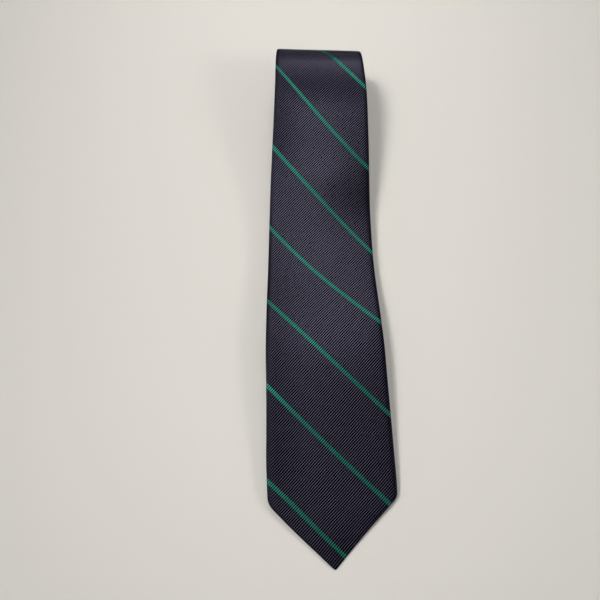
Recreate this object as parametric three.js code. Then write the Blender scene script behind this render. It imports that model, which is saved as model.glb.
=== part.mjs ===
// Silk necktie, face up and folded in half twice, so that four thicknesses lie stacked.
// Millimetres, +Z up. The pointed blade end looks along -Y and the rounded fold along +Y.
// The origin is on the resting surface, under the middle of the folded tie.

import * as THREE from 'three';

// Silk round a woven interlining, as thick as the padded strip is
const bladeThickness = 2.8;
const tailThickness = 2.4;

// The open fold at the far end: the blade rolls over outside, the tail inside
const rollY = 386;
const rollOuterRadius = 23.6;
const rollEntryAngle = THREE.MathUtils.degToRad(12);
const rollGap = 0.7;

// The small fold of the neck at the near end
const nearFoldY = 107;
const nearFoldRadius = 2.3;
const layerGap = 0.5;

// The pointed ends: how fast each half widens away from the point, and the blunt point itself
const bladePoint = { left: 1.066, right: 0.965, blunt: 0.6 };
const tailPoint = { left: 1.0, right: 1.0, blunt: 0.6 };
const shoulderRounding = { left: 4, right: 2 };

// The slanting seams between the three panels, by distance along the tie
const bladeSeamAt = 640;
const tailSeamAt = 960;
const seamSlant = 1.0;
const seamBlend = 90;
const seamGap = 0.5;

// Sections along the tie: far apart on the flats, close together in the folds
const flatStep = 11;
const foldStep = 4.5;
const nearFoldStep = 1.2;
const pathStep = 0.5;
const bladeCorners = [
  { within: 8, step: 4 },
  { within: 34, step: 8 },
  { within: 50, step: 2.6 },
];
const tailCorners = [
  { within: 19, step: 6 },
  { within: 29, step: 2.2 },
];

// How far the overhanging sides of the blade sag below its middle
const sideSag = 0.7;
const sagStretch = { from: 15, full: 60, easing: 330, gone: 390 };
const seamGroove = { halfWidth: 0.7, depth: 0.7 };

const midRadius = rollOuterRadius - bladeThickness / 2;
const innerRadius = midRadius - bladeThickness / 2 - rollGap - tailThickness / 2;
const floorLevel = bladeThickness / 2;
const secondLevel = floorLevel + bladeThickness + layerGap;
const entryRise = Math.cos(rollEntryAngle);
const entryRun = Math.sin(rollEntryAngle);

// Height of the middle of the cloth over the resting surface, top run, from the point back
const bladeRun = [
  { y: -1, z: 1.4 },
  { y: 10, z: 1.6 },
  { y: 30, z: 4.1 },
  { y: 60, z: 7.1 },
  { y: 90, z: 10.5 },
  { y: 119, z: 14.0 },
  { y: 149, z: 16.2 },
  { y: 179, z: 14.8 },
  { y: 209, z: 11.8 },
  { y: 239, z: 11.9 },
  { y: 269, z: 16.5 },
  { y: 298, z: 24.0 },
  { y: 326, z: 32.3 },
  { y: 355, z: 40.1 },
  { y: rollY - midRadius * entryRun, z: rollOuterRadius + midRadius * entryRise },
];

// The neck comes back over itself above the near fold
const upperNeckRun = [
  { y: nearFoldY, z: floorLevel + 2 * nearFoldRadius },
  { y: 135, z: 5.5 },
  { y: 175, z: 4.9 },
  { y: 215, z: secondLevel },
  { y: rollY, z: secondLevel },
];

// The tail runs down under the blade, over the near fold and onto the surface
const tailRun = [
  { y: rollY - innerRadius * entryRun, z: rollOuterRadius + innerRadius * entryRise },
  { y: 355, z: 36.7 },
  { y: 326, z: 28.9 },
  { y: 298, z: 20.6 },
  { y: 269, z: 13.2 },
  { y: 239, z: 8.6 },
  { y: 209, z: 8.5 },
  { y: 179, z: 11.2 },
  { y: 149, z: 12.6 },
  { y: 119, z: 10.6 },
  { y: 107, z: 9.4 },
  { y: 90, z: 7.0 },
  { y: 75, z: 4.8 },
  { y: 60, z: 2.9 },
  { y: 45, z: 1.4 },
  { y: 34, z: 1.2 },
];

// Full width across the tie, by distance from the blade's point
const widths = [
  { at: 0, width: 89.4 },
  { at: 42, width: 89.4 },
  { at: 50, width: 90.2 },
  { at: 60, width: 90.5 },
  { at: 70, width: 90.4 },
  { at: 85, width: 89.7 },
  { at: 125, width: 88.1 },
  { at: 150, width: 87.7 },
  { at: 172, width: 86.4 },
  { at: 222, width: 82.9 },
  { at: 272, width: 81.1 },
  { at: 325, width: 78.4 },
  { at: 370, width: 75.3 },
  { at: 400, width: 71.8 },
  { at: 470, width: 66.5 },
  { at: 600, width: 56 },
  { at: 745, width: 46 },
  { at: 850, width: 40 },
  { at: 960, width: 36 },
  { at: 1095, width: 35.5 },
  { at: 1250, width: 40 },
  { at: 1456, width: 47 },
];

// Sideways place of the middle line, turn of the section in plan, and tilt across it
const lines = [
  { at: 0, x: 0.45, turn: 0, tilt: 0 },
  { at: 25, x: -1.05, turn: 0, tilt: 0 },
  { at: 50, x: -0.8, turn: 0, tilt: 0 },
  { at: 70, x: -1.7, turn: 0.004, tilt: 0.004 },
  { at: 97, x: -2.6, turn: 0.01, tilt: 0.01 },
  { at: 155, x: -4.8, turn: 0.01, tilt: 0.02 },
  { at: 222, x: -6.6, turn: 0, tilt: 0 },
  { at: 285, x: -6.8, turn: -0.01, tilt: 0 },
  { at: 325, x: -6.2, turn: -0.02, tilt: 0 },
  { at: 370, x: -6.1, turn: -0.035, tilt: 0 },
  { at: 400, x: -7.2, turn: -0.038, tilt: 0 },
  { at: 470, x: -6.5, turn: -0.02, tilt: 0 },
  { at: 745, x: -1.5, turn: 0, tilt: 0 },
  { at: 1030, x: -4.5, turn: -0.02, tilt: 0 },
  { at: 1095, x: -6.0, turn: -0.03, tilt: 0 },
  { at: 1240, x: -7.0, turn: 0, tilt: 0 },
  { at: 1320, x: -5.0, turn: 0, tilt: 0.02 },
  { at: 1456, x: 1.0, turn: 0, tilt: 0 },
];

// A smooth curve through the rows of a table, flat past its ends
function smoothValue(rows, key, value, x) {
  const rising = rows[0][key] < rows[rows.length - 1][key];
  const list = rising ? rows : [...rows].reverse();
  if (x <= list[0][key]) return list[0][value];
  if (x >= list[list.length - 1][key]) return list[list.length - 1][value];
  const i = list.findIndex((row) => row[key] > x) - 1;
  const slope = (j) => {
    const a = list[Math.max(j - 1, 0)];
    const b = list[Math.min(j + 1, list.length - 1)];
    return (b[value] - a[value]) / (b[key] - a[key]);
  };
  const span = list[i + 1][key] - list[i][key];
  const t = (x - list[i][key]) / span;
  const leaving = 2 * t ** 3 - 3 * t ** 2 + 1;
  const slopes = slope(i) * (t ** 3 - 2 * t ** 2 + t) + slope(i + 1) * (t ** 3 - t ** 2);
  return list[i][value] * leaving + list[i + 1][value] * (1 - leaving) + span * slopes;
}

// Points of one run, from its first row to its last
function runPoints(rows) {
  const from = rows[0].y;
  const to = rows[rows.length - 1].y;
  const count = Math.ceil(Math.abs(to - from) / pathStep);
  return Array.from({ length: count + 1 }, (_, i) => {
    const y = from + (to - from) * i / count;
    return new THREE.Vector2(y, smoothValue(rows, 'y', 'z', y));
  });
}

// Points of a fold: an arc round (y, z), angles from +Y towards +Z
function foldPoints(y, z, radius, from, to) {
  const count = Math.ceil(Math.abs(to - from) * radius / pathStep);
  return Array.from({ length: count + 1 }, (_, i) => {
    const angle = from + (to - from) * i / count;
    return new THREE.Vector2(y + radius * Math.cos(angle), z + radius * Math.sin(angle));
  });
}

// The whole middle line of the tie seen from the side, with the places where it folds
function tiePath() {
  const quarter = Math.PI / 2;
  const stretches = [
    { step: flatStep, points: runPoints(bladeRun) },
    {
      step: foldStep,
      points: foldPoints(rollY, rollOuterRadius, midRadius, quarter + rollEntryAngle, -quarter),
    },
    { step: flatStep, points: runPoints([{ y: rollY, z: floorLevel }, { y: nearFoldY, z: floorLevel }]) },
    {
      step: nearFoldStep,
      points: foldPoints(nearFoldY, floorLevel + nearFoldRadius, nearFoldRadius, -quarter, -3 * quarter),
    },
    { step: flatStep, points: runPoints(upperNeckRun) },
    {
      step: foldStep,
      points: foldPoints(rollY, rollOuterRadius, innerRadius, -quarter, quarter + rollEntryAngle),
    },
    { step: flatStep, points: runPoints(tailRun) },
  ];
  const path = [];
  let along = 0;
  for (const { step, points } of stretches) {
    for (const point of points) {
      const last = path[path.length - 1];
      const gone = last ? point.distanceTo(last.point) : 0;
      if (last && gone < 1e-6) {
        last.step = Math.min(last.step, step);
        continue;
      }
      along += gone;
      path.push({ at: along, point, step });
    }
  }
  return path;
}

const path = tiePath();
const tieLength = path[path.length - 1].at;

// Place and direction on the path at a distance from the blade's point
function pathAt(at) {
  const s = THREE.MathUtils.clamp(at, 0, tieLength);
  let low = 0;
  let high = path.length - 1;
  while (high - low > 1) {
    const middle = (low + high) >> 1;
    if (path[middle].at <= s) low = middle;
    else high = middle;
  }
  const t = (s - path[low].at) / (path[high].at - path[low].at);
  const point = path[low].point.clone().lerp(path[high].point, t);
  const before = path[Math.max(low - 1, 0)].point;
  const after = path[Math.min(high + 1, path.length - 1)].point;
  const along = after.clone().sub(before).normalize();
  return { point, along, step: path[low].step };
}

// The lesser of two lengths, with a rounded corner where they cross
function softLeast(a, b, rounding) {
  const blend = Math.max(rounding - Math.abs(a - b), 0) / rounding;
  return Math.min(a, b) - blend * blend * rounding / 4;
}

// How far the cloth reaches left and right of the middle line
function halfWidths(at) {
  const half = smoothValue(widths, 'at', 'width', at) / 2;
  const fromTail = tieLength - at;
  const reach = (side) => Math.min(
    softLeast(half, bladePoint.blunt + at * bladePoint[side], shoulderRounding[side]),
    softLeast(half, tailPoint.blunt + fromTail * tailPoint[side], shoulderRounding[side]),
  );
  return { left: reach('left'), right: reach('right') };
}

// One point of the cloth: across is to the face's right, out is off its face
function clothPoint(at, across, out) {
  const { point, along } = pathAt(at);
  const x = smoothValue(lines, 'at', 'x', at);
  const turn = smoothValue(lines, 'at', 'turn', at);
  const tilt = smoothValue(lines, 'at', 'tilt', at);
  const half = smoothValue(widths, 'at', 'width', at) / 2;
  const { from, full, easing, gone } = sagStretch;
  const starting = THREE.MathUtils.smoothstep(at, from, full);
  const ending = THREE.MathUtils.smoothstep(at, easing, gone);
  const sag = sideSag * starting * (1 - ending) * (across / half) ** 2;
  const lift = out - sag;
  return new THREE.Vector3(
    x + across,
    point.x + across * turn - along.y * lift,
    point.y + across * tilt + along.x * lift,
  );
}

// Across the section: rolled edges, a flat face, and the groove of the sewn seam on the back
const edgeRoll = [
  { inset: 0.3, fullness: 0.62 },
  { inset: 1.1, fullness: 0.92 },
  { inset: 3.0, fullness: 1.0 },
];
const fullRollWidth = 14;

function sectionRing(at, slant, thickness) {
  const { left, right } = halfWidths(at);
  const size = Math.min(1, (left + right) / fullRollWidth);
  const stations = [];
  for (const { inset, fullness } of edgeRoll) {
    stations.push({ across: -left + inset * size, fullness, groove: 0 });
  }
  stations.push({ across: -left / 2, fullness: 1, groove: 0 });
  stations.push({ across: -seamGroove.halfWidth * size, fullness: 1, groove: 0 });
  stations.push({ across: 0, fullness: 1, groove: seamGroove.depth * size });
  stations.push({ across: seamGroove.halfWidth * size, fullness: 1, groove: 0 });
  stations.push({ across: right / 2, fullness: 1, groove: 0 });
  for (const { inset, fullness } of [...edgeRoll].reverse()) {
    stations.push({ across: right - inset * size, fullness, groove: 0 });
  }
  const half = thickness / 2;
  const place = (across, out) => clothPoint(at + across * slant, across, out);
  const front = stations.map((row) => place(row.across, half * row.fullness));
  const back = stations.map((row) => place(row.across, -half * row.fullness + row.groove));
  return [place(-left, 0), ...front, place(right, 0), ...back.reverse()];
}

// How far on the next section is: close together in folds and at the corners of a point
function stepFrom(at, forward) {
  const fromEnd = Math.min(at, tieLength - at);
  const corners = at < tieLength / 2 ? bladeCorners : tailCorners;
  const row = corners.find(({ within }) => fromEnd < within);
  const pointStep = row ? row.step : flatStep;
  return Math.min(pointStep, pathAt(at).step, pathAt(at + forward).step);
}

// Distances of a panel's sections, with the slant of each one near a seam
function panelSections(start, end, slantStart, slantEnd) {
  const rows = [];
  let at = start;
  while (at < end) {
    rows.push(at);
    at += stepFrom(at, foldStep);
  }
  if (end - rows[rows.length - 1] < foldStep / 4) rows.pop();
  rows.push(end);
  return rows.map((s) => {
    const nearStart = slantStart * Math.max(0, 1 - (s - start) / seamBlend);
    const nearEnd = slantEnd * Math.max(0, 1 - (end - s) / seamBlend);
    return { at: s, slant: nearStart + nearEnd };
  });
}

// A closed solid lofted through the panel's sections
function panelGeometry({ start, end, slantStart, slantEnd, thickness }) {
  const rings = panelSections(start, end, slantStart, slantEnd)
    .map(({ at, slant }) => sectionRing(at, slant, thickness));
  const count = rings[0].length;
  const positions = rings.flat().flatMap((p) => [p.x, p.y, p.z]);
  const faces = [];
  for (let i = 0; i < rings.length - 1; i += 1) {
    for (let j = 0; j < count; j += 1) {
      const a = i * count + j;
      const b = i * count + (j + 1) % count;
      faces.push(a, b + count, a + count);
      faces.push(a, b, b + count);
    }
  }
  const capFace = (base, flip) => {
    for (let j = 0; j < count / 2; j += 1) {
      const quad = [j, j + 1, (count - j - 1) % count, (count - j) % count];
      for (const [p, q, r] of [[quad[0], quad[1], quad[2]], [quad[0], quad[2], quad[3]]]) {
        if (p === q || q === r || p === r) continue;
        faces.push(base + p, base + (flip ? r : q), base + (flip ? q : r));
      }
    }
  };
  capFace(0, true);
  capFace((rings.length - 1) * count, false);
  const geometry = new THREE.BufferGeometry();
  geometry.setAttribute('position', new THREE.Float32BufferAttribute(positions, 3));
  geometry.setIndex(faces);
  geometry.computeVertexNormals();
  return geometry;
}

const silk = { roughness: 0.55, metalness: 0 };

const panels = [
  {
    name: 'blade_panel',
    start: 0,
    end: bladeSeamAt - seamGap / 2,
    slantStart: 0,
    slantEnd: seamSlant,
    thickness: bladeThickness,
    color: 0x34313c,
  },
  {
    name: 'neck_panel',
    start: bladeSeamAt + seamGap / 2,
    end: tailSeamAt - seamGap / 2,
    slantStart: seamSlant,
    slantEnd: seamSlant,
    thickness: bladeThickness,
    color: 0x322f39,
  },
  {
    name: 'tail_panel',
    start: tailSeamAt + seamGap / 2,
    end: tieLength,
    slantStart: seamSlant,
    slantEnd: 0,
    thickness: tailThickness,
    color: 0x35323d,
  },
];

const tie = new THREE.Group();
for (const panel of panels) {
  const material = new THREE.MeshStandardMaterial({ color: panel.color, ...silk });
  const mesh = new THREE.Mesh(panelGeometry(panel), material);
  mesh.name = panel.name;
  tie.add(mesh);
}

// Centre the folded tie over the origin and rest it on the surface
const bounds = new THREE.Box3().setFromObject(tie);
const middle = bounds.getCenter(new THREE.Vector3());
for (const mesh of tie.children) {
  mesh.geometry.translate(-middle.x, -middle.y, -bounds.min.z);
}

export default tie;
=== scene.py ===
import math

import bmesh
import bpy
from mathutils import Matrix, Vector, noise


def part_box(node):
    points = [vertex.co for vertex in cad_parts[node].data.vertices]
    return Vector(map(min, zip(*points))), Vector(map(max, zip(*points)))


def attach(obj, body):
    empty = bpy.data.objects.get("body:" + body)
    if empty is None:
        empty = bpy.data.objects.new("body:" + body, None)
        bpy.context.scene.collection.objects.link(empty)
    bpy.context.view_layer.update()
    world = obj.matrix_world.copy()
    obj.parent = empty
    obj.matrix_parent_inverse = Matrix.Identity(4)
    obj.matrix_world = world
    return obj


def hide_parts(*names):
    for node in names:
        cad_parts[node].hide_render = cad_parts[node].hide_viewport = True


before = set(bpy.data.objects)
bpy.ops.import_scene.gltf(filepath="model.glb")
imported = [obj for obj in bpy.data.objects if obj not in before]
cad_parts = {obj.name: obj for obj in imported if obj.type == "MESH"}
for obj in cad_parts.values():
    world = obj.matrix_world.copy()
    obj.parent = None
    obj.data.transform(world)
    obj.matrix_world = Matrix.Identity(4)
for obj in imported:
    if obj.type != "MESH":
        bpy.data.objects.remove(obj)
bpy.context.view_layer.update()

mm = 0.001  # the tie's sizes are millimetres, Blender's are metres
uvLength = 100  # mm of silk in one unit of the cloth map

# The way the tie lies folded, seen from the side: y from the point, z over the surface
folds = {
    "bladeThickness": 2.8,
    "tailThickness": 2.4,
    "rollY": 386,
    "rollOuterRadius": 23.6,
    "rollEntryDeg": 12,
    "rollGap": 0.7,
    "nearFoldY": 107,
    "nearFoldRadius": 2.3,
    "layerGap": 0.5,
    "pathStep": 0.5,
}
floorLevel = folds["bladeThickness"] / 2
secondLevel = floorLevel + folds["bladeThickness"] + folds["layerGap"]
midRadius = folds["rollOuterRadius"] - folds["bladeThickness"] / 2
underOuter = midRadius - folds["bladeThickness"] / 2
innerRadius = underOuter - folds["rollGap"] - folds["tailThickness"] / 2
entry = math.radians(folds["rollEntryDeg"])


def rollEntry(radius):
    # where a run meets the far roll, as y and z
    return (
        folds["rollY"] - radius * math.sin(entry),
        folds["rollOuterRadius"] + radius * math.cos(entry),
    )


# Rows of (y, z) for the middle of the cloth
bladeRun = [
    (-1, 1.4), (10, 1.6), (30, 4.1), (60, 7.1), (90, 10.5), (119, 14.0), (149, 16.2), (179, 14.8),
    (209, 11.8), (239, 11.9), (269, 16.5), (298, 24.0), (326, 32.3), (355, 40.1),
    rollEntry(midRadius),
]
floorRun = [(folds["rollY"], floorLevel), (folds["nearFoldY"], floorLevel)]
upperNeckRun = [
    (folds["nearFoldY"], floorLevel + 2 * folds["nearFoldRadius"]), (135, 5.5), (175, 4.9),
    (215, secondLevel), (folds["rollY"], secondLevel),
]
tailRun = [
    rollEntry(innerRadius),
    (355, 36.7), (326, 28.9), (298, 20.6), (269, 13.2), (239, 8.6), (209, 8.5), (179, 11.2),
    (149, 12.6), (119, 10.6), (107, 9.4), (90, 7.0), (75, 4.8), (60, 2.9), (45, 1.4), (34, 1.2),
]

# Full width across, by distance along the tie from the blade's point
widths = [
    (0, 89.4), (42, 89.4), (50, 90.2), (60, 90.5), (70, 90.4), (85, 89.7), (125, 88.1),
    (150, 87.7), (172, 86.4), (222, 82.9), (272, 81.1), (325, 78.4), (370, 75.3), (400, 71.8),
    (470, 66.5), (600, 56), (745, 46), (850, 40), (960, 36), (1095, 35.5), (1250, 40), (1456, 47),
]

# The middle line, by the same distance: sideways place, turn in plan, tilt across
lineX = [
    (0, 0.45), (25, -1.05), (50, -0.8), (70, -1.7), (97, -2.6), (155, -4.8), (222, -6.6),
    (285, -6.8), (325, -6.2), (370, -6.1), (400, -7.2), (470, -6.5), (745, -1.5), (1030, -4.5),
    (1095, -6.0), (1240, -7.0), (1320, -5.0), (1456, 1.0),
]
lineTurn = [
    (0, 0), (50, 0), (70, 0.004), (97, 0.01), (155, 0.01), (222, 0), (285, -0.01), (325, -0.02),
    (370, -0.035), (400, -0.038), (470, -0.02), (745, 0), (1030, -0.02), (1095, -0.03),
    (1240, 0), (1320, 0), (1456, 0),
]
lineTilt = [
    (0, 0), (50, 0), (70, 0.004), (97, 0.01), (155, 0.02), (222, 0), (1240, 0), (1320, 0.02),
    (1456, 0),
]

# Silk repp: fine warp threads packed over thick filling, so ribs lie right across each stripe.
# The warp's soft lavender gleam off each rib's crest is a painted highlight in the crest colours,
# and painted shade in the groove colours keeps the grooves black.
reppSilk = {
    "crestSheen": "#817d95",
    "grooveShade": "#040209",
    "greenCrestSheen": "#46aa94",
    "greenGrooveShade": "#063a2e",
    "rim": "#4a4652",  # seen along its surface the silk stays dark
    # how far the painted shade darkens silk that leans fully away from the light
    "paintedShadeDepth": 0.8,
    "merging": 0.85,  # how far the ribs close up round a fold
    "mergedLine": 0.33,  # there the painted crest highlight and groove shade show as one even tone
    "ribPitch": 1.5,  # mm in the cloth, a tenth over the real 1.35, which is too fine to show
    "ribHeight": 0.03,
    "ribBump": 0.8,
    "ribSharpness": 14.0,  # on the dark ground the painted highlight takes only the very crest of a rib
    "greenSharpness": 6.0,  # and on the green more of it
    "wander": 0.5,  # mm that a rib strays from a straight line
    "wanderScale": 0.035,  # of its noise, for each mm
    "streak": 0.5,  # how much lighter or darker a rib grows along its length
    "streakScale": 0.16,
    "stripePitch": 65.08,  # mm along the tie
    "stripeSlope": 0.979,  # of the stripes against a line straight across
    "stripeStart": 339.9,  # where a stripe crosses the middle line, mm from the point
    "stripeWidth": 2.8,
    "stripeBlur": 0.18,
    "roughness": 0.36,
    "gloss": 0.05,
    "ior": 1.5,
    "metal": 0.55,  # the gleam of silk takes the colour of its thread, as a metal's does
}

# Cut on the bias, the silk gives a little: how far each stripe strays along the tie, in mm, by
# distance from the point: in its middle, and its slant and bow at the reach either side of that
bias = {
    "reach": 36,
    "limit": 1.3,  # the part of the reach past which neither grows
    "middle": [
        (14, 1.05), (79, -0.8), (144, 0.2), (209, -2.45), (274, -1.0), (339, 1.6), (404, 1.3),
        (470, 0),
    ],
    "slant": [
        (14, 0.35), (79, 0), (144, -1.0), (209, -0.15), (274, -4.6), (339, -5.9), (404, -1.0),
        (470, 0),
    ],
    "bow": [
        (14, -1.55), (79, 1.15), (144, 0.1), (209, 2.45), (274, -0.4), (339, 2.6), (404, -0.9),
        (470, 0),
    ],
}


def smoothValue(rows, x):
    # a smooth curve through the rows, flat past its ends
    rows = sorted(rows)
    if x <= rows[0][0]:
        return rows[0][1]
    if x >= rows[-1][0]:
        return rows[-1][1]
    i = next(k for k in range(len(rows)) if rows[k][0] > x) - 1

    def slope(j):
        a = rows[max(j - 1, 0)]
        b = rows[min(j + 1, len(rows) - 1)]
        return (b[1] - a[1]) / (b[0] - a[0])

    span = rows[i + 1][0] - rows[i][0]
    t = (x - rows[i][0]) / span
    leaving = rows[i][1] * (2 * t**3 - 3 * t**2 + 1) + slope(i) * span * (t**3 - 2 * t**2 + t)
    return leaving + rows[i + 1][1] * (3 * t**2 - 2 * t**3) + slope(i + 1) * span * (t**3 - t**2)


def smoothStep(x, low, high):
    t = min(max((x - low) / (high - low), 0), 1)
    return t * t * (3 - 2 * t)


def runPoints(rows):
    # the rows joined by a smooth line, in small steps
    first, last = rows[0][0], rows[-1][0]
    count = math.ceil(abs(last - first) / folds["pathStep"])
    ys = [first + (last - first) * i / count for i in range(count + 1)]
    return [Vector((y, smoothValue(rows, y))) for y in ys]


def foldPoints(y, z, radius, start, end):
    # an arc, its angles from +Y towards +Z
    count = math.ceil(abs(end - start) * radius / folds["pathStep"])
    angles = [start + (end - start) * i / count for i in range(count + 1)]
    return [Vector((y + radius * math.cos(a), z + radius * math.sin(a))) for a in angles]


samePlace = 1e-6  # mm, for the ends that two stretches of the path share


def tiePath():
    # the middle line of the whole tie: distance from the point, and the place seen from the side
    quarter = math.pi / 2
    rollCentre = (folds["rollY"], folds["rollOuterRadius"])
    nearCentre = (folds["nearFoldY"], floorLevel + folds["nearFoldRadius"])
    stretches = [
        runPoints(bladeRun),
        foldPoints(*rollCentre, midRadius, quarter + entry, -quarter),
        runPoints(floorRun),
        foldPoints(*nearCentre, folds["nearFoldRadius"], -quarter, -3 * quarter),
        runPoints(upperNeckRun),
        foldPoints(*rollCentre, innerRadius, -quarter, quarter + entry),
        runPoints(tailRun),
    ]
    line = []
    for point in (p for stretch in stretches for p in stretch):
        gone = (point - line[-1][1]).length if line else 0
        if line and gone < samePlace:
            continue
        line.append((line[-1][0] + gone if line else 0, point))
    return line


path = tiePath()
tieLength = path[-1][0]
pathStarts = [row[0] for row in path]
print("tie length, mm:", round(tieLength))


def pathAt(at):
    # place and direction on the middle line
    at = min(max(at, 0), tieLength)
    low, high = 0, len(path) - 1
    while high - low > 1:
        middle = (low + high) // 2
        if pathStarts[middle] <= at:
            low = middle
        else:
            high = middle
    t = (at - path[low][0]) / (path[high][0] - path[low][0])
    point = path[low][1].lerp(path[high][1], t)
    before = path[max(low - 1, 0)][1]
    after = path[min(high + 1, len(path) - 1)][1]
    return point, (after - before).normalized()


# The points at both ends of the tie: how fast each half widens away from the tip, half the width
# of the blunt tip, and how far the shoulders on each side are rounded
points = {
    "bladeLeft": 1.066,
    "bladeRight": 0.965,
    "tail": 1.0,
    "blunt": 0.6,
    "roundingLeft": 4,
    "roundingRight": 2,
}


def softLeast(a, b, rounding):
    # the smaller of two values, with a rounded change from one to the other
    blend = max(rounding - abs(a - b), 0) / rounding
    return min(a, b) - blend * blend * rounding / 4


def halfWidth(at, side):
    # reach of the cloth to the left or right of the middle line
    half = smoothValue(widths, at) / 2
    hand = "Left" if side < 0 else "Right"
    grow, rounding = points["blade" + hand], points["rounding" + hand]
    fromBlade = softLeast(half, points["blunt"] + at * grow, rounding)
    fromTail = softLeast(half, points["blunt"] + (tieLength - at) * points["tail"], rounding)
    return min(fromBlade, fromTail)


drape = {
    "sideSag": 0.7,  # the sides of the blade hang lower than its middle
    "sagFrom": (15, 60),
    "sagTo": (330, 390),
    "ripple": 0.28,  # height of the soft waves in the face
    "rippleAcross": 38,
    "rippleAlong": 62,
    "rippleSlice": 3.1,  # of the noise that they are cut from
    "rippleFrom": (5, 60),
    "dents": [(268, 38, 17, 18, 2.2), (292, 8, 18, 20, -1.6)],  # at, across, reach of both, depth
    "rollFrom": (366, 404),
    "rollTo": (440, 470),
    "earlyRound": 0.6,  # how round the silk already is before the left edge
}

# Painted shade, darkening the silk's colour where it leans away from the light: by part of the
# half width on each side, how much of that by distance from the point, and for the whole width by
# that distance, at the point and over the far roll. A painted highlight lightens the brow of the
# hump: at, across, reach of both, and how far
paintedShading = {
    "left": [(0.3, 0), (0.6, 0.25), (0.85, 0.5), (0.95, 0.55)],
    "leftAlong": [
        (25, 0.5), (60, 0.9), (100, 1.0), (145, 1.0), (172, 0.4), (290, 0.35), (325, 1.0),
    ],
    "right": [(0.6, 0), (0.88, 0.1), (0.95, 0.2)],
    "rightAlong": [
        (20, 2.5), (60, 2), (110, 1.4), (180, 1), (235, 1), (262, 3), (295, 3), (315, 1),
    ],
    "along": [
        (0, 0.45), (10, 0.4), (22, 0.15), (35, 0.03), (50, 0), (345, 0), (358, 0.4), (370, 0.65),
        (380, 0.6), (390, 0.45), (440, 0.42), (470, 0),
    ],
    "paintedBrowHighlight": (292, 9, 18, 20, 0.45),
}


def softSpot(at, across, spot):
    # strength here of a round spot: it says at, across, reach of both, strength in its middle
    row, column, long, wide, strength = spot
    return strength * math.exp(-((at - row) / long) ** 2 - ((across - column) / wide) ** 2)


def clothPoint(at, across, out, rippling):
    # one point of the cloth: across is to the face's right, out is off its face
    point, along = pathAt(at)
    half = smoothValue(widths, at) / 2
    sag = drape["sideSag"] * (across / half) ** 2
    sag *= smoothStep(at, *drape["sagFrom"]) * (1 - smoothStep(at, *drape["sagTo"]))
    wave = noise.noise(Vector((
        across / drape["rippleAcross"], at / drape["rippleAlong"], drape["rippleSlice"],
    )))
    dent = sum(softSpot(at, across, spot) for spot in drape["dents"])
    lift = out - sag - dent + wave * drape["ripple"] * rippling
    turn = smoothValue(lineTurn, at)
    tilt = smoothValue(lineTilt, at)
    return Vector((
        smoothValue(lineX, at) + across,
        point.x + across * turn - along.y * lift,
        point.y + across * tilt + along.x * lift,
    ))


def biasGive(at, over):
    # how far a stripe strays here from its straight course
    crossing = at + over * reppSilk["stripeSlope"]
    part = min(max(over / bias["reach"], -bias["limit"]), bias["limit"])
    middle, slant, bow = (smoothValue(bias[key], crossing) for key in ("middle", "slant", "bow"))
    return middle + slant * part + bow * part**2


envelope = {
    "front": [0, 0.14, 0.28, 0.42, 0.55, 0.67, 0.78, 0.87, 0.94, 1.0],  # of the flat half width
    "edgeDeg": [18, 38, 60, 90, 120, 146, 166],  # round the folded edge
    "back": [1.0, 0.95, 0.88, 0.76, 0.62, 0.46, 0.3, 0.15],  # back towards the sewn seam
    "flapRoll": [(1.5, 0.06), (0.9, 0.25), (0.45, 0.55), (0.0, 0.85)],  # from the seam, how deep
    "flapStep": 0.2,  # least way from the back to where a flap rolls in
    "edgeShare": 0.45,  # of the half width, the most that an edge's radius takes
    "fullFrom": 7,  # half width from which the seam is full size
    "tipShare": 0.35,  # of the full thickness, at a point's very tip
}


def envelopeColumns():
    # columns of one half, from the middle of the face round the edge to the seam behind
    columns = [("front", part) for part in envelope["front"]]
    columns += [("edge", math.radians(angle)) for angle in envelope["edgeDeg"]]
    columns += [("back", part) for part in envelope["back"]]
    columns += [("seam", row) for row in envelope["flapRoll"]]
    return columns


def envelopePlace(column, reach, thickness):
    # across, out and distance over the cloth from the middle of the face
    zone, value = column
    radius = min(thickness / 2, reach * envelope["edgeShare"])
    flat = reach - radius
    size = min(1, reach / envelope["fullFrom"])
    half = thickness / 2 * min(1, envelope["tipShare"] + reach / envelope["fullFrom"])
    if zone == "front":
        return flat * value, half, flat * value
    if zone == "edge":
        return flat + radius * math.sin(value), half * math.cos(value), flat + radius * value
    turned = flat + radius * math.pi
    if zone == "back":
        flapEdge = envelope["flapRoll"][0][0] * size
        across = max(flat * value, flapEdge + envelope["flapStep"])
        return across, -half, turned + flat - across
    across, depth = value[0] * size, value[1] * size
    return across, -half + depth, turned + flat - across


def paintedShadePart(column, side, at):
    # how much painted shade the silk's colour takes where it leans away from the light: 1 round a
    # folded edge
    zone, value = column
    if zone == "edge" or value == 1.0:
        return 1
    toSide = 0
    if zone == "front":
        hand = "left" if side < 0 else "right"
        toSide = smoothValue(paintedShading[hand], value) * smoothValue(paintedShading[hand + "Along"], at)
        across = side * value * smoothValue(widths, at) / 2
        toSide -= softSpot(at, across, paintedShading["paintedBrowHighlight"])
    overall = smoothValue(paintedShading["along"], at)
    return max(toSide, overall) if overall > 0 else toSide


def roundPart(column, side, at):
    # 1 where the silk turns round a folded edge or over the far roll; on the left it starts sooner
    zone, value = column
    onRoll = smoothStep(at, *drape["rollFrom"]) * (1 - smoothStep(at, *drape["rollTo"]))
    if zone == "edge":
        return 1
    beforeEdge = drape["earlyRound"] if value == 1.0 and side < 0 else 0
    return max(beforeEdge, onRoll)


# Distances between the rows of the cloth, in mm
rowSteps = {
    "plain": 3.6,
    "point": 1.5,
    "pointReach": 50,  # from either end of the tie
    "turns": [(0.3, 0.9), (0.05, 2.4)],  # more radians turned by the path, and the step there
    "turnsOver": 2,
    "least": 0.4,
}


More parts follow.
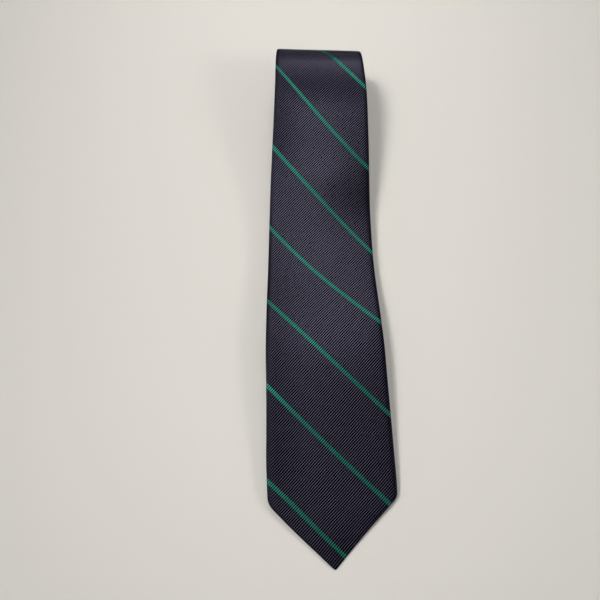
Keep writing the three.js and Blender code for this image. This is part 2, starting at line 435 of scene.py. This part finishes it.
def panelRows(panel):
    # distances of the rows: close together in the folds and at the corners of a point
    rows, at = [], panel["start"]
    while at < panel["end"]:
        rows.append(at)
        turning = pathAt(at)[1].angle(pathAt(at + rowSteps["turnsOver"])[1])
        atPoint = min(at, tieLength - at) < rowSteps["pointReach"]
        steps = [step for turn, step in rowSteps["turns"] if turning > turn]
        at += min(steps + [rowSteps["point" if atPoint else "plain"]])
    if panel["end"] - rows[-1] < rowSteps["least"]:
        rows.pop()
    return rows + [panel["end"]]


seams = {"bladeAt": 640, "tailAt": 960, "slant": 1.0, "blend": 90, "gap": 0.5}
weldDistance = 0.02  # mm, for the corners that meet at the middle of the back


def makePanel(name, panel):
    # a flat grid of cloth, half a unit either way from its middle, folded round into the
    # envelope and then along the tie's path
    half = envelopeColumns()
    columns = [(-1, c) for c in reversed(half)] + [(1, c) for c in half[1:]]
    rows = panelRows(panel)
    bm = bmesh.new()
    bmesh.ops.create_grid(bm, x_segments=len(columns) - 1, y_segments=len(rows) - 1, size=0.5)
    cloth = bm.loops.layers.uv.new("cloth")
    stripes = bm.loops.layers.uv.new("stripes")
    paintedShade = bm.verts.layers.float.new("paintedShade")
    rounded = bm.verts.layers.float.new("rounded")
    placed = {}
    for vert in bm.verts:
        column = round((vert.co.x + 0.5) * (len(columns) - 1))
        row = round((vert.co.y + 0.5) * (len(rows) - 1))
        side, kind = columns[column]
        at = rows[row]
        nearStart = panel["slantStart"] * max(0, 1 - (at - panel["start"]) / seams["blend"])
        nearEnd = panel["slantEnd"] * max(0, 1 - (panel["end"] - at) / seams["blend"])
        reach = halfWidth(at, side)
        across, out, over = envelopePlace(kind, reach, panel["thickness"])
        slid = at + side * across * (nearStart + nearEnd)
        rippling = smoothStep(at, *drape["rippleFrom"]) if kind[0] == "front" else 0
        vert.co = clothPoint(slid, side * across, out, rippling)
        placed[vert] = (side * over, slid)
        vert[paintedShade] = paintedShadePart(kind, side, at)
        vert[rounded] = roundPart(kind, side, at)
    for face in bm.faces:
        face.smooth = True
        for loop in face.loops:
            over, along = placed[loop.vert]
            loop[cloth].uv = (over / uvLength, along / uvLength)
            loop[stripes].uv = (over / uvLength, (along - biasGive(along, over)) / uvLength)
    bmesh.ops.remove_doubles(bm, verts=bm.verts, dist=weldDistance)
    bmesh.ops.holes_fill(bm, edges=[e for e in bm.edges if e.is_boundary], sides=0)
    bmesh.ops.recalc_face_normals(bm, faces=bm.faces)
    bmesh.ops.scale(bm, vec=(mm, mm, mm), verts=bm.verts)
    mesh = bpy.data.meshes.new(name)
    bm.to_mesh(mesh)
    bm.free()
    piece = bpy.data.objects.new(name, mesh)
    bpy.context.scene.collection.objects.link(piece)
    return piece


panels = {
    "blade_silk_panel": {
        "node": "blade_panel", "slot": "blade_silk", "thickness": folds["bladeThickness"],
        "start": 0, "end": seams["bladeAt"] - seams["gap"] / 2,
        "slantStart": 0, "slantEnd": seams["slant"],
    },
    "neck_silk_panel": {
        "node": "neck_panel", "slot": "neck_silk", "thickness": folds["bladeThickness"],
        "start": seams["bladeAt"] + seams["gap"] / 2, "end": seams["tailAt"] - seams["gap"] / 2,
        "slantStart": seams["slant"], "slantEnd": seams["slant"],
    },
    "tail_silk_panel": {
        "node": "tail_panel", "slot": "tail_silk", "thickness": folds["tailThickness"],
        "start": seams["tailAt"] + seams["gap"] / 2, "end": tieLength,
        "slantStart": seams["slant"], "slantEnd": 0,
    },
}

silkPanels = {name: makePanel(name, panel) for name, panel in panels.items()}


def placeOnFrame(pieces):
    # the point of the blade and the widest sides meet the CAD model's box
    low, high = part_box("blade_panel")
    blade = pieces["blade_silk_panel"].data.vertices
    xs = [v.co.x for v in blade]
    toMiddle = (low.x + high.x - min(xs) - max(xs)) / 2
    shift = Vector((toMiddle, low.y - min(v.co.y for v in blade), 0))
    for piece in pieces.values():
        piece.data.transform(Matrix.Translation(shift))
    return shift


frameShift = placeOnFrame(silkPanels)
print("panels made:", ", ".join(silkPanels))


def linear(hexColour):
    # an sRGB hex colour as Blender's linear one
    parts = [int(hexColour[i:i + 2], 16) / 255 for i in (1, 3, 5)]
    return [p / 12.92 if p <= 0.04045 else ((p + 0.055) / 1.055) ** 2.4 for p in parts] + [1]


def addNode(tree, kind, settings=None, inputs=None):
    # one node, its own settings, then its sockets: a value, or another node's output
    node = tree.nodes.new(kind)
    for key, value in (settings or {}).items():
        setattr(node, key, value)
    for key, value in (inputs or {}).items():
        if isinstance(value, bpy.types.NodeSocket):
            tree.links.new(value, node.inputs[key])
        else:
            node.inputs[key].default_value = value
    return node


def reppMaterial(name, silk):
    material = bpy.data.materials.new(name)
    material.use_nodes = True
    tree = material.node_tree
    tree.nodes.clear()

    def add(kind, settings=None, inputs=None):
        return addNode(tree, kind, settings, inputs)

    def calc(operation, a, b=0.0, c=0.0):
        return add("ShaderNodeMath", {"operation": operation}, {0: a, 1: b, 2: c}).outputs[0]

    steep = math.sqrt(1 + silk["stripeSlope"] ** 2)
    turn = math.atan(silk["stripeSlope"])

    def turnedMap(uvName):
        # turned so that X runs along the stripes, across the ribs, and Y across the stripes; mm
        flat = add("ShaderNodeUVMap", {"uv_map": uvName}).outputs["UV"]
        return add("ShaderNodeMapping", {"vector_type": "POINT"}, {
            "Vector": flat, "Rotation": (0, 0, turn), "Scale": (uvLength, uvLength, uvLength),
        }).outputs["Vector"]

    turned = turnedMap("cloth")
    acrossRibs = add("ShaderNodeSeparateXYZ", None, {0: turned}).outputs["X"]
    acrossStripes = add("ShaderNodeSeparateXYZ", None, {0: turnedMap("stripes")}).outputs["Y"]

    # threads wander a little, so no rib is dead straight or even
    wander = add("ShaderNodeTexNoise", {"noise_dimensions": "2D"}, {
        "Vector": turned, "Scale": silk["wanderScale"], "Detail": 1.0, "Roughness": 0.5,
    }).outputs[0]
    ribPlace = calc("MULTIPLY_ADD", wander, silk["wander"], acrossRibs)
    ribTurns = calc("MULTIPLY", ribPlace, 2 * math.pi / silk["ribPitch"])
    ribWave = calc("MULTIPLY_ADD", calc("SINE", ribTurns), 0.5, 0.5)
    darkLine = calc("POWER", ribWave, silk["ribSharpness"])
    greenLine = calc("POWER", ribWave, silk["greenSharpness"])

    # each rib a little lighter or darker along its length
    ribMap = add("ShaderNodeMapping", {"vector_type": "POINT"}, {
        "Vector": turned, "Scale": (1 / silk["ribPitch"], silk["streakScale"], 1),
    }).outputs["Vector"]
    streak = add("ShaderNodeTexNoise", {"noise_dimensions": "2D"}, {
        "Vector": ribMap, "Scale": 1.0, "Detail": 2.0, "Roughness": 0.6,
    }).outputs[0]
    uneven = calc("MULTIPLY_ADD", streak, silk["streak"], 1 - silk["streak"] / 2)

    # distance from the nearest stripe's middle
    stripeGap = silk["stripePitch"] / steep
    stripeEdge = silk["stripeWidth"] / 2
    fromStripe = calc("SUBTRACT", acrossStripes, silk["stripeStart"] / steep)
    folded = calc("PINGPONG", fromStripe, stripeGap / 2)
    inStripe = add("ShaderNodeMapRange", {"interpolation_type": "SMOOTHSTEP"}, {
        "Value": folded, "To Min": 1.0, "To Max": 0.0,
        "From Min": stripeEdge - silk["stripeBlur"], "From Max": stripeEdge + silk["stripeBlur"],
    }).outputs[0]

    # painted shade: silk that leans away from the light is painted darker, and round a fold its
    # ribs merge
    paintedShade = add("ShaderNodeAttribute", {"attribute_name": "paintedShade"}).outputs["Fac"]
    streakAndPaintedShade = calc("MULTIPLY", uneven, calc("MULTIPLY_ADD", paintedShade, -silk["paintedShadeDepth"], 1.0))
    rounded = add("ShaderNodeAttribute", {"attribute_name": "rounded"}).outputs["Fac"]
    groundLine = add("ShaderNodeMix", {"data_type": "FLOAT"}, {
        0: calc("MULTIPLY", rounded, silk["merging"]), 2: darkLine, 3: silk["mergedLine"],
    }).outputs[0]

    def grooveToCrest(line, colours):
        node = add("ShaderNodeValToRGB", None, {0: line})
        for element, key in zip(node.color_ramp.elements, colours):
            element.color = linear(silk[key])
        return node.outputs[0]

    # the groove colours carry painted shade and the crest colours a painted highlight, on the
    # ground and on the stripes
    colour = add("ShaderNodeMix", {"data_type": "RGBA"}, {
        0: inStripe,
        6: grooveToCrest(calc("MULTIPLY", groundLine, streakAndPaintedShade), ("grooveShade", "crestSheen")),
        7: grooveToCrest(calc("MULTIPLY", greenLine, uneven), ("greenGrooveShade", "greenCrestSheen")),
    }).outputs[2]

    bump = add("ShaderNodeBump", None, {
        "Strength": silk["ribBump"], "Distance": silk["ribHeight"] * mm, "Height": ribWave,
    }).outputs[0]
    shader = add("ShaderNodeBsdfPrincipled", None, {
        "Base Color": colour, "Normal": bump, "Roughness": silk["roughness"], "IOR": silk["ior"],
        "Specular IOR Level": silk["gloss"], "Metallic": silk["metal"],
        "Specular Tint": linear(silk["rim"]),
    })
    add("ShaderNodeOutputMaterial", None, {"Surface": shader.outputs[0]})
    return material


reppCloth = reppMaterial("navy_repp_silk_green_stripe", reppSilk)

for name, piece in silkPanels.items():
    piece.data.materials.append(reppCloth)
    soften = piece.modifiers.new("soften", "SUBSURF")
    soften.levels = soften.render_levels = 1
    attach(piece, "root")
    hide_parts(panels[name]["node"])
print("silk finished")

# A plain pale floor in metres, under a soft light overhead, a broad one on the left whose narrow
# beam leaves the floor darker to both sides, and a small one on the right
studio = {
    "floor": "#dbd7d0",
    "floorRoughness": 0.9,
    "floorSize": 6.0,
    "lampTint": "#fffefb",
    "world": "#f4f6ff",
    "worldStrength": 0.22,
}

# place, what it shines at, its two sides in metres, watts, and how wide its beam opens
lamps = {
    "overhead_lamp": {
        "place": (0.05, 0.46, 0.85), "target": (0, 0.26, 0),
        "sides": (0.22, 0.8), "power": 2.3, "beamDeg": 180,
    },
    "left_lamp": {
        "place": (-0.75, 0.22, 1.3), "target": (-0.04, 0.2, 0),
        "sides": (1.2, 0.6), "power": 1.4, "beamDeg": 27,
    },
    "right_lamp": {
        "place": (1.2, -0.38, 0.85), "target": (0, 0.18, 0),
        "sides": (0.2, 0.2), "power": 5.0, "beamDeg": 180,
    },
}


def makeFloor():
    bm = bmesh.new()
    bmesh.ops.create_grid(bm, x_segments=1, y_segments=1, size=studio["floorSize"] / 2)
    mesh = bpy.data.meshes.new("floor")
    bm.to_mesh(mesh)
    bm.free()
    floor = bpy.data.objects.new("floor", mesh)
    bpy.context.scene.collection.objects.link(floor)
    material = bpy.data.materials.new("pale_floor")
    material.use_nodes = True
    shader = material.node_tree.nodes["Principled BSDF"]
    shader.inputs["Base Color"].default_value = linear(studio["floor"])
    shader.inputs["Roughness"].default_value = studio["floorRoughness"]
    mesh.materials.append(material)


def areaLight(name, lamp):
    light = bpy.data.lights.new(name, "AREA")
    light.shape = "RECTANGLE"
    light.size, light.size_y = lamp["sides"]
    light.energy = lamp["power"]
    light.spread = math.radians(lamp["beamDeg"])
    light.color = linear(studio["lampTint"])[:3]
    piece = bpy.data.objects.new(name, light)
    piece.location = lamp["place"]
    aim = Vector(lamp["target"]) - Vector(lamp["place"])
    piece.rotation_euler = aim.to_track_quat("-Z", "Y").to_euler()
    bpy.context.scene.collection.objects.link(piece)


makeFloor()
for name, lamp in lamps.items():
    areaLight(name, lamp)
world = bpy.data.worlds.new("studio_air")
world.use_nodes = True
air = world.node_tree.nodes["Background"]
air.inputs["Color"].default_value = linear(studio["world"])
air.inputs["Strength"].default_value = studio["worldStrength"]
bpy.context.scene.world = world

# The camera stands over the blade near its point, a little to its left, looking down towards
# the far fold
view = {
    "place": (-23.1, 42.6, 411.5),  # mm: from the blade's point, and over the floor
    "tiltDeg": 19.87,  # away from straight down
    "focalPixels": 555,  # for a picture 600 pixels across
    "picture": 600,
    "sensor": 36,
    "nearClip": 0.01,  # metres
}


def makeCamera():
    data = bpy.data.cameras.new("camera")
    data.sensor_width = view["sensor"]
    data.lens = view["sensor"] * view["focalPixels"] / view["picture"]
    data.clip_start = view["nearClip"]
    camera = bpy.data.objects.new("camera", data)
    camera.location = Vector(view["place"]) * mm + frameShift
    camera.rotation_euler = (math.radians(view["tiltDeg"]), 0, 0)
    bpy.context.scene.collection.objects.link(camera)
    bpy.context.scene.camera = camera


makeCamera()
bpy.context.scene.view_settings.view_transform = "Standard"
print("floor, lights and camera placed")
